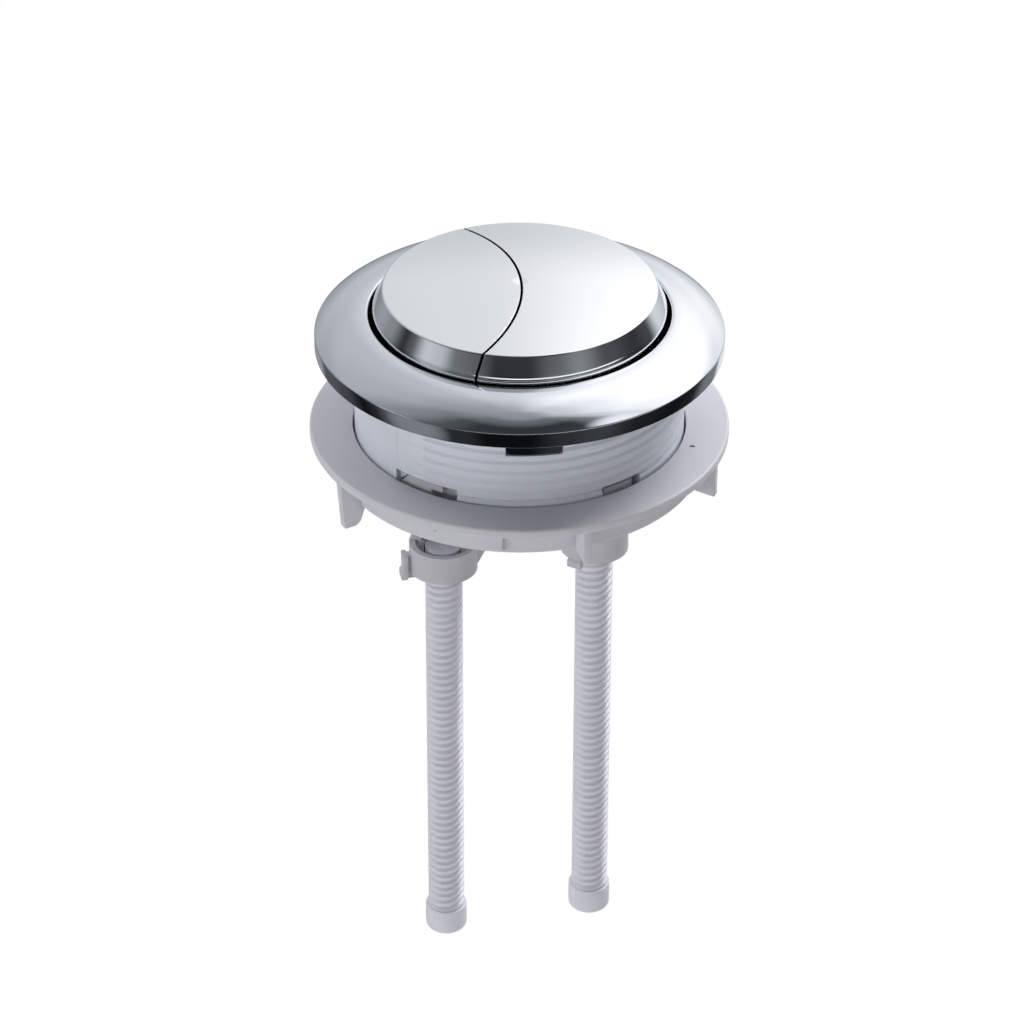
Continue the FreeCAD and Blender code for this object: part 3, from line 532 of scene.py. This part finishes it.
class MakeBarrel(bpy.types.Operator):
    """Threaded barrel: thread in front and at the back, smooth sides, windows and tab slots"""
    bl_idname = "flush_button.make_barrel"
    bl_label = "Threaded barrel"

    BORE = 26.95
    CREST = 28.75
    BOTTOM = -24.5
    TOP = 3.4
    WINDOW_HEIGHT = 7.2
    # Each window's direction, width in degrees and upper edge.
    WINDOWS = ((230.7, 25.3, -13.5), (302.7, 16.5, -13.9), (129.3, 25.3, -13.5), (57.3, 16.5, -13.9))

    # The slots for the ring's tabs.
    SLOT_DIRECTIONS = (-90, 30, 150)
    SLOT_WIDTH = 9.8
    SLOT_FLOOR = -5.6
    # The thread fades to the crest over this angle at each of its ends.
    RUN_OUT = 14

    def threaded_wall(self, sizes, start, end):
        """A wall with teeth outside that climb as a right-handed thread does."""
        pitch = sizes.barrel_pitch / MM
        depth = sizes.barrel_thread_depth / MM
        low = self.BOTTOM - pitch
        bm = bmesh.new()
        root = self.CREST - depth
        corners = [(self.CREST, low), (self.CREST, low + 0.45 * pitch), (root, low + 0.7 * pitch),
                   (root, low + 0.8 * pitch), (self.CREST, low + pitch)]
        chain = [bm.verts.new((radius * MM, 0, height * MM)) for radius, height in corners]
        for first, second in zip(chain, chain[1:]):
            bm.edges.new((first, second))
        turns = math.ceil((self.TOP - self.BOTTOM) / pitch) + 2
        bmesh.ops.spin(bm, geom=bm.verts[:] + bm.edges[:], cent=(0, 0, 0), axis=(0, 0, 1), angle=0.0,
                       steps=turns - 1, dvec=(0, 0, pitch * MM), use_duplicate=True)
        bmesh.ops.remove_doubles(bm, verts=bm.verts[:], dist=SEAM_GAP)
        ends = sorted((v for v in bm.verts if len(v.link_edges) == 1), key=lambda v: v.co.z)
        inner = [bm.verts.new((self.BORE * MM, 0, v.co.z)) for v in ends]
        bm.edges.new((ends[0], inner[0]))
        bm.edges.new((inner[0], inner[1]))
        bm.edges.new((inner[1], ends[1]))
        bmesh.ops.contextual_create(bm, geom=bm.edges[:])
        sweep(bm, start, end, 128, pitch * (end - start) / 360)
        for vert in bm.verts:
            reach = math.hypot(vert.co.x, vert.co.y)
            off_middle = math.atan2(vert.co.y, vert.co.x) - math.radians((start + end) / 2)
            off_middle = abs(math.remainder(off_middle, math.tau))
            left = math.radians((end - start) / 2) - off_middle
            if reach > (self.BORE + 0.1) * MM:
                deep = (self.CREST * MM - reach) * min(1, max(0, left) / math.radians(self.RUN_OUT))
                vert.co.xy *= (self.CREST * MM - deep) / reach
        level_end(bm, self.BOTTOM, True)
        level_end(bm, self.TOP, False)
        return closed(bm)

    def execute(self, context):
        sizes = context.scene.button_sizes
        walls = [
            self.threaded_wall(sizes, -141.4, -12.0),
            self.threaded_wall(sizes, 38.6, 168.0),
        ]
        # The smooth sides stand a hair proud, so that they cover the ends of the threaded walls.
        proud = self.CREST + 0.01
        side = [(self.BORE, self.BOTTOM, 0.15), (proud, self.BOTTOM, 0.25), (proud, self.TOP),
                (self.BORE, self.TOP)]
        walls.append(sector(side, -12.4, 39, 36))
        walls.append(sector(side, 167.6, 219, 36))
        half = math.degrees(self.SLOT_WIDTH / 2 / self.CREST)
        slot = [(26, self.SLOT_FLOOR), (30, self.SLOT_FLOOR), (30, 5), (26, 5)]
        barrel = bmesh.new()
        for wall in walls:
            tools = []
            for middle in self.SLOT_DIRECTIONS:
                tools.append(("DIFFERENCE", sector(slot, middle - half, middle + half, 12)))
            for middle, span, top in self.WINDOWS:
                sill = top - self.WINDOW_HEIGHT
                window = [(26, sill), (30, sill), (30, top), (26, top)]
                tools.append(("DIFFERENCE", sector(window, middle - span / 2, middle + span / 2, 24)))
            add_shell(barrel, carve(wall, *tools))
        ledge = [(25.15, self.BOTTOM), (27.4, self.BOTTOM), (27.4, -23.3), (25.15, -23.3)]
        add_shell(barrel, turned(ledge, sizes.ring_steps))
        make_piece(barrel, "barrel_wall", "housing", ["threaded_barrel"],
                   polypropylene_barrel())
        return {"FINISHED"}


class MakeNut(bpy.types.Operator):
    """Lock nut: flange and hub with tall grip fins and low gussets"""
    bl_idname = "flush_button.make_nut"
    bl_label = "Lock nut"

    def execute(self, context):
        sizes = context.scene.button_sizes
        nut = turned([
            (29.1, -15.4, 0.25),
            (29.1, -22.65, 0.25),
            (32.2, -22.65, 0.3),
            (32.2, -17.05),
            (36.64, -17.05, 0.35),
            (36.64, -15.4, 0.45),
        ], sizes.ring_steps)
        gate_mark = shift(turned([(0, -15.7), (0.5, -15.7), (0.5, -15.2), (0, -15.2)], 20), 31.3)
        nut = carve(nut, ("DIFFERENCE", rotated(gate_mark, 337.75)))
        # Side views of the ribs. They stand in front, and again half a turn on.
        long_fin = [(31.2, -16.2), (31.2, -22.65), (32.2, -25.5), (33.1, -26.4, 0.5), (35.49, -26.4, 0.35),
                    (36.29, -16.2)]
        square_fin = [(30.65, -16.2), (30.65, -22.65), (32.2, -22.65), (36.29, -23.3, 0.3), (36.29, -16.2)]
        stub = [(30.65, -16.2), (30.65, -18.6), (35.4, -18.6, 0.3), (35.4, -16.2)]
        gusset = [(30.65, -16.2), (30.65, -22.1), (33.2, -22.1, 0.5), (33.2, -16.2)]
        rib_thickness = 1.5
        for outline, front in ((long_fin, 206.1), (stub, 239.9), (gusset, 258.7), (square_fin, 283.6),
                               (square_fin, 334.7)):
            for direction in (front, front - 180):
                add_shell(nut, soften(plate(outline, rib_thickness, direction), sizes.edge_softness))
        # The nut wears the darker copy of the polypropylene, as painted shade.
        make_piece(nut, "nut_moulding", "nut", ["lock_nut"], polypropylene_painted_shade())
        return {"FINISHED"}


class MakeRods(bpy.types.Operator):
    """Threaded rods with their feet"""
    bl_idname = "flush_button.make_rods"
    bl_label = "Push rods"

    CREST = 3.42
    # The left side is smooth over this half angle, at this radius.
    SMOOTH_HALF_ANGLE = 38
    SMOOTH_RADIUS = 3.3
    STEPS_A_TURN = 36

    def rod(self, sizes, x, low, high):
        """A rod with a right-handed thread, smooth along its left side, without its foot."""
        pitch = sizes.rod_pitch / MM
        depth = sizes.rod_thread_depth / MM
        root = self.CREST - depth
        turns = math.ceil((high - low) / pitch) + 2
        bm = bmesh.new()
        start = low - pitch
        corners = [(root, start), (root, start + 0.2 * pitch), (self.CREST, start + 0.55 * pitch),
                   (self.CREST, start + 0.8 * pitch), (root, start + pitch)]
        chain = [bm.verts.new((radius * MM, 0, height * MM)) for radius, height in corners]
        for first, second in zip(chain, chain[1:]):
            bm.edges.new((first, second))
        bmesh.ops.spin(bm, geom=bm.verts[:] + bm.edges[:], cent=(0, 0, 0), axis=(0, 0, 1),
                       angle=math.tau * turns, steps=self.STEPS_A_TURN * turns,
                       dvec=(0, 0, pitch * MM / self.STEPS_A_TURN))
        bmesh.ops.remove_doubles(bm, verts=bm.verts[:], dist=SEAM_GAP)
        smooth = self.SMOOTH_RADIUS * MM
        for vert in bm.verts:
            if vert.co.x < -smooth * math.cos(math.radians(self.SMOOTH_HALF_ANGLE)):
                reach = math.hypot(vert.co.x, vert.co.y)
                vert.co.x *= smooth / reach
                vert.co.y *= smooth / reach
        level_end(bm, low, True)
        level_end(bm, high, False)
        return shift(closed(bm), x)

    def execute(self, context):
        sizes = context.scene.button_sizes
        for name, x in (("small_rod", -SPREAD), ("large_rod", SPREAD)):
            low, high = (corner[2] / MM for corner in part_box(name))
            rod = self.rod(sizes, x, low + 5.0, high)
            foot = turned([(0, low), (3.85, low, 1.15), (3.85, low + 5.35, 0.15), (0, low + 5.35)], 64)
            add_shell(rod, shift(foot, x))
            make_piece(rod, f"{name}_threaded", f"{name}_body", [name], acetal_rod())
        return {"FINISHED"}


class MakeSprings(bpy.types.Operator):
    """Return springs, coiled round the rods and fixed to the housing"""
    bl_idname = "flush_button.make_springs"
    bl_label = "Return springs"

    def execute(self, context):
        sizes = context.scene.button_sizes
        wire = sizes.spring_wire / 2
        coil_radius = 8.0 * MM
        floor = -21.3 * MM
        ceiling = 7.3 * MM
        for side, x in (("small", -SPREAD), ("large", SPREAD)):
            bm = bmesh.new()
            steps = int(48 * sizes.spring_turns)
            first = Matrix.Translation((coil_radius, 0, floor + wire)) @ Matrix.Rotation(math.pi / 2, 4, "X")
            bmesh.ops.create_circle(bm, cap_ends=True, radius=wire, segments=12, matrix=first)
            rise = ceiling - floor - 2 * wire
            bmesh.ops.spin(bm, geom=bm.verts[:] + bm.edges[:] + bm.faces[:], cent=(0, 0, 0), axis=(0, 0, 1),
                           angle=math.tau * sizes.spring_turns, steps=steps, dvec=(0, 0, rise / steps))
            coil = make_piece(shift(closed(bm), x), f"{side}_coil", "housing", [f"{side}_spring"],
                              drawn_stainless_wire())
            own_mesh(coil)
        return {"FINISHED"}


class MakeMouldings(bpy.types.Operator):
    """Guide cage, plungers and collars, with the soft edges that a mould leaves"""
    bl_idname = "flush_button.make_mouldings"
    bl_label = "Inner mouldings"

    PIECES = (
        ("guide_cage", "housing", "cage_plastic", polypropylene_painted_shade),
        # The plungers and collars wear the darker copy of the acetal, as painted shade.
        ("small_plunger", "small_push", "plunger_plastic", acetal_collar_painted_shade),
        ("large_plunger", "large_push", "plunger_plastic", acetal_collar_painted_shade),
        ("small_rod_collar", "small_push", "plunger_plastic", acetal_collar_painted_shade),
        ("large_rod_collar", "large_push", "plunger_plastic", acetal_collar_painted_shade),
    )

    def slit(self, side):
        """A cutter for the slanting slit in the cage's wide tongue, in front (1) or at the back (-1)."""
        bm = bmesh.new()
        bmesh.ops.create_cube(bm, size=MM)
        bmesh.ops.scale(bm, verts=bm.verts[:], vec=(1.2, 3.1, 0.35))
        rotated(bm, 42 * side, "X")
        bmesh.ops.translate(bm, verts=bm.verts[:], vec=(27.9 * MM, 0, -14.8 * MM))
        return rotated(bm, 221.3 * side)

    def execute(self, context):
        for name, body, slot, material in self.PIECES:
            bm = bmesh.new()
            bm.from_mesh(bpy.data.objects[name].data)
            bmesh.ops.remove_doubles(bm, verts=bm.verts[:], dist=0.002 * MM)
            bmesh.ops.dissolve_limit(bm, angle_limit=math.radians(1), verts=bm.verts[:],
                                     edges=bm.edges[:])
            if name == "guide_cage":
                bm = carve(bm, ("DIFFERENCE", self.slit(1)), ("DIFFERENCE", self.slit(-1)))
            piece = make_piece(bm, f"{name}_moulding", body, [name], material())
            edge = piece.modifiers.new("moulded_edge", "BEVEL")
            edge.width = context.scene.button_sizes.edge_softness
            edge.segments = 2
            edge.limit_method = "ANGLE"
            edge.angle_limit = math.radians(40)
            edge.harden_normals = False
        return {"FINISHED"}


class MakeStage(bpy.types.Operator):
    """Pale floor, soft studio light and the camera"""
    bl_idname = "flush_button.make_stage"
    bl_label = "Studio"

    def floor(self):
        """A white sheet that the camera sees as white paper, and that doesn't hide the object from below."""
        bm = bmesh.new()
        bmesh.ops.create_grid(bm, x_segments=1, y_segments=1, size=3.0)
        bmesh.ops.translate(bm, verts=bm.verts[:], vec=(0, 0, -0.175))
        sheet = bare_object(bm, "floor_sheet")
        material = bpy.data.materials.new("white_paper_sheet")
        material.use_nodes = True
        tree = material.node_tree
        shader = tree.nodes["Principled BSDF"]
        shader.inputs["Base Color"].default_value = linear("#F4F4F4")
        shader.inputs["Roughness"].default_value = 0.9
        share = math_node(tree, "MULTIPLY", seen_directly(tree), 0.97)
        white = node(tree, "ShaderNodeEmission", {"Color": (1, 1, 1, 1), "Strength": 1.0})
        mixed = node(tree, "ShaderNodeMixShader", {0: share, 1: shader.outputs[0], 2: white.outputs[0]})
        backfacing = node(tree, "ShaderNodeNewGeometry").outputs["Backfacing"]
        clear = node(tree, "ShaderNodeBsdfTransparent")
        one_sided = node(tree, "ShaderNodeMixShader",
                         {0: backfacing, 1: mixed.outputs[0], 2: clear.outputs[0]})
        tree.links.new(one_sided.outputs[0], tree.nodes["Material Output"].inputs["Surface"])
        sheet.data.materials.append(material)
        sheet.visible_glossy = False

    def tent(self):
        """A light tent that only reflections see: bright on the right, duller on the left, open in front."""
        bm = bmesh.new()
        bmesh.ops.create_uvsphere(bm, u_segments=48, v_segments=24, radius=0.9)
        tent = bare_object(bm, "light_tent")
        material = bpy.data.materials.new("tent_cloth")
        material.use_nodes = True
        tree = material.node_tree
        tree.nodes.remove(tree.nodes["Principled BSDF"])
        place = node(tree, "ShaderNodeTexCoord").outputs["Object"]
        towards = node(tree, "ShaderNodeVectorMath", {0: place}, operation="NORMALIZE").outputs["Vector"]
        parts = node(tree, "ShaderNodeSeparateXYZ", {0: towards}).outputs
        # Part of a turn from the right over the back, the left and the front.
        turn = math_node(tree, "ARCTAN2", parts["Y"], parts["X"])
        turn = math_node(tree, "FRACT", math_node(tree, "MULTIPLY", turn, 1 / math.tau))
        # The lit wall stands on the right. The cloth gets duller over the back and the left to the opening.
        wall = self.ramp(tree, turn, (
            (0.0, 0.92), (0.05, 1.0), (0.19, 1.0), (0.25, 0.62), (0.3, 0.49), (0.42, 0.4), (0.5, 0.24),
            (0.58, 0.08), (0.64, 0.04), (0.88, 0.04), (0.93, 0.2), (0.97, 0.7), (1.0, 0.92)))
        fade = self.ramp(tree, parts["Z"], ((0.85, 1.0), (0.98, 0.78)))
        wall = math_node(tree, "MULTIPLY", wall, fade)
        # At table height stand a strip on the left, a low one in front and dark stands beside both.
        table = self.ramp(tree, turn, (
            (0.0, 0.03), (0.045, 0.06), (0.09, 0.75), (0.17, 0.9), (0.25, 0.52), (0.38, 0.38), (0.42, 0.26),
            (0.47, 0.03), (0.49, 0.08), (0.53, 0.46), (0.56, 0.4), (0.6, 0.12), (0.65, 0.1), (0.69, 0.02),
            (0.75, 0.02), (0.81, 0.13), (0.86, 0.2), (0.93, 0.06), (1.0, 0.03)))
        height = self.ramp(tree, parts["Z"], ((0.3, 0.0), (0.5, 1.0)))
        cloth = self.between(tree, height, table, wall)
        zenith = self.ramp(tree, parts["Z"], ((0.94, 0.0), (0.985, 0.4), (1.0, 1.0)))
        cloth = self.between(tree, zenith, cloth, 0.29)
        # Below the table's edge there is only the dark room, with a few lit patches of the table in it.
        level = math_node(tree, "MULTIPLY_ADD", parts["Z"], 0.5, 0.5)
        low = self.ramp(tree, level, ((0.25, 0.22), (0.36, 0.45), (0.45, 0.72), (0.6, 1.0)))
        cloth = math_node(tree, "MULTIPLY", cloth, low)
        # A long tube at table height in front, which draws the thin light lines on the rounded edges.
        tube = self.ramp(tree, level, ((0.47, 0.0), (0.5, 0.9), (0.53, 0.9), (0.56, 0.0)))
        reach = self.ramp(tree, turn, ((0.62, 0.0), (0.7, 1.0), (0.93, 1.0), (0.97, 0.0)))
        cloth = math_node(tree, "MAXIMUM", cloth, math_node(tree, "MULTIPLY", tube, reach))
        # Patches of the table at the back right, back left and front left, and the wall's front corner.
        for spot, edge, strength in (((0.36, 0.77, -0.53), 0.95, 0.7), ((-0.26, 0.82, -0.51), 0.95, 0.28),
                                     ((-0.78, -0.36, -0.51), 0.93, 0.2), ((0.58, -0.25, 0.77), 0.955, 0.85)):
            near = node(tree, "ShaderNodeVectorMath", {0: towards, 1: spot}, operation="DOT_PRODUCT")
            patch = self.ramp(tree, near.outputs["Value"], ((edge, 0.0), (0.995, strength)))
            cloth = math_node(tree, "MAXIMUM", cloth, patch)
        # The dull cloth is a little blue and the lit wall is white.
        hue = node(tree, "ShaderNodeMix", {0: cloth, 6: (0.86, 0.94, 1.03, 1), 7: (0.99, 0.995, 1, 1)},
                   data_type="RGBA")
        strength = math_node(tree, "MULTIPLY", cloth, 1.25)
        glow = node(tree, "ShaderNodeEmission", {"Color": hue.outputs[2], "Strength": strength})
        tree.links.new(glow.outputs[0], tree.nodes["Material Output"].inputs["Surface"])
        tent.data.materials.append(material)
        tent.visible_camera = False
        tent.visible_diffuse = False
        tent.visible_shadow = False
        tent.visible_transmission = False

    def between(self, tree, share, first, second):
        """A value that goes from the first to the second as the share goes from 0 to 1."""
        mix = node(tree, "ShaderNodeMix", {"Factor": share, "A": first, "B": second})
        return mix.outputs["Result"]

    def ramp(self, tree, value, stops):
        """A grey ramp over (position, brightness) stops."""
        made = node(tree, "ShaderNodeValToRGB", {"Fac": value})
        made.color_ramp.interpolation = "EASE"
        elements = made.color_ramp.elements
        while len(elements) < len(stops):
            elements.new(0.5)
        for element, (position, shade) in zip(elements, stops):
            element.position = position
            element.color = (shade, shade, shade, 1)
        return made.outputs["Color"]

    def lamp(self, name, place, aim, size, power):
        """A square soft box that hangs at a place and shines at a point."""
        light = bpy.data.lights.new(name, "AREA")
        light.shape = "SQUARE"
        light.size = size
        light.energy = power
        item = bpy.data.objects.new(name, light)
        item.location = place
        item.rotation_euler = (Vector(aim) - Vector(place)).to_track_quat("-Z", "Y").to_euler()
        bpy.context.scene.collection.objects.link(item)

    def world(self):
        """Even studio light, which the camera and the chrome see as a white room."""
        world = bpy.data.worlds.new("studio")
        world.use_nodes = True
        tree = world.node_tree
        strength = node(tree, "ShaderNodeMapRange",
                        {"Value": seen_directly(tree), "To Min": 0.22, "To Max": 1.0})
        background = tree.nodes["Background"]
        background.inputs["Color"].default_value = (1, 1, 1, 1)
        tree.links.new(strength.outputs["Result"], background.inputs["Strength"])
        bpy.context.scene.world = world

    def camera(self, settings):
        turn = Matrix.Rotation(settings.azimuth, 3, "Z")
        ahead = turn @ Vector((0, math.cos(settings.pitch), -math.sin(settings.pitch)))
        right = turn @ Vector((1, 0, 0))
        up = right.cross(ahead)
        place = -settings.distance * ahead - settings.aside * right - settings.below * up
        rolled_right = math.cos(settings.roll) * right + math.sin(settings.roll) * up
        rolled_up = math.cos(settings.roll) * up - math.sin(settings.roll) * right
        data = bpy.data.cameras.new("photo_camera")
        data.lens = settings.lens
        data.sensor_width = 36.0
        data.clip_start = 0.01
        item = bpy.data.objects.new("photo_camera", data)
        basis = Matrix((rolled_right, rolled_up, -ahead)).transposed().to_4x4()
        item.matrix_world = Matrix.Translation(place) @ basis
        bpy.context.scene.collection.objects.link(item)
        bpy.context.scene.camera = item

    def execute(self, context):
        self.floor()
        self.world()
        self.camera(context.scene.stage_settings)
        self.tent()
        self.lamp("top_box", (0.05, 0.35, 0.95), (0, 0, 0), 0.9, 3.0)
        self.lamp("low_left_box", (-0.8, -0.6, 0.02), (0, 0, -0.05), 0.6, 3.6)
        self.lamp("back_left_box", (-0.62, 0.45, 0.65), (0, 0, -0.03), 0.5, 3.0)
        self.lamp("back_right_box", (0.6, 0.45, 0.65), (0, 0, -0.03), 0.5, 8.0)
        self.lamp("low_right_box", (0.5, -0.8, -0.05), (0, 0, -0.08), 0.5, 0.4)
        context.scene.view_settings.view_transform = "Standard"
        return {"FINISHED"}


class ButtonPanel(bpy.types.Panel):
    """Sidebar panel with the pieces, in the order in which they are made"""
    bl_idname = "VIEW3D_PT_flush_button"
    bl_label = "Push button"
    bl_space_type = "VIEW_3D"
    bl_region_type = "UI"
    bl_category = "Push button"

    def draw(self, context):
        layout = self.layout
        for group in ("button_sizes", "button_colours", "stage_settings"):
            settings = getattr(context.scene, group)
            box = layout.box()
            for name in settings.__annotations__:
                box.prop(settings, name)
        for operator in OPERATORS:
            layout.operator(operator.bl_idname)


SETTINGS = {
    "button_sizes": ButtonSizes,
    "button_colours": ButtonColours,
    "stage_settings": StageSettings,
}
OPERATORS = (MakeRing, MakeCaps, MakeBarrel, MakeNut, MakeRods, MakeSprings, MakeMouldings, MakeStage)


def register():
    for cls in (*SETTINGS.values(), *OPERATORS, ButtonPanel):
        bpy.utils.register_class(cls)
    for name, cls in SETTINGS.items():
        setattr(bpy.types.Scene, name, PointerProperty(type=cls))


def unregister():
    for name in SETTINGS:
        delattr(bpy.types.Scene, name)
    for cls in reversed((*SETTINGS.values(), *OPERATORS, ButtonPanel)):
        bpy.utils.unregister_class(cls)


def main():
    register()
    bpy.ops.flush_button.make_ring()
    bpy.ops.flush_button.make_caps()
    bpy.ops.flush_button.make_barrel()
    bpy.ops.flush_button.make_nut()
    bpy.ops.flush_button.make_rods()
    bpy.ops.flush_button.make_springs()
    bpy.ops.flush_button.make_mouldings()
    bpy.ops.flush_button.make_stage()


if __name__ == "__main__":
    main()
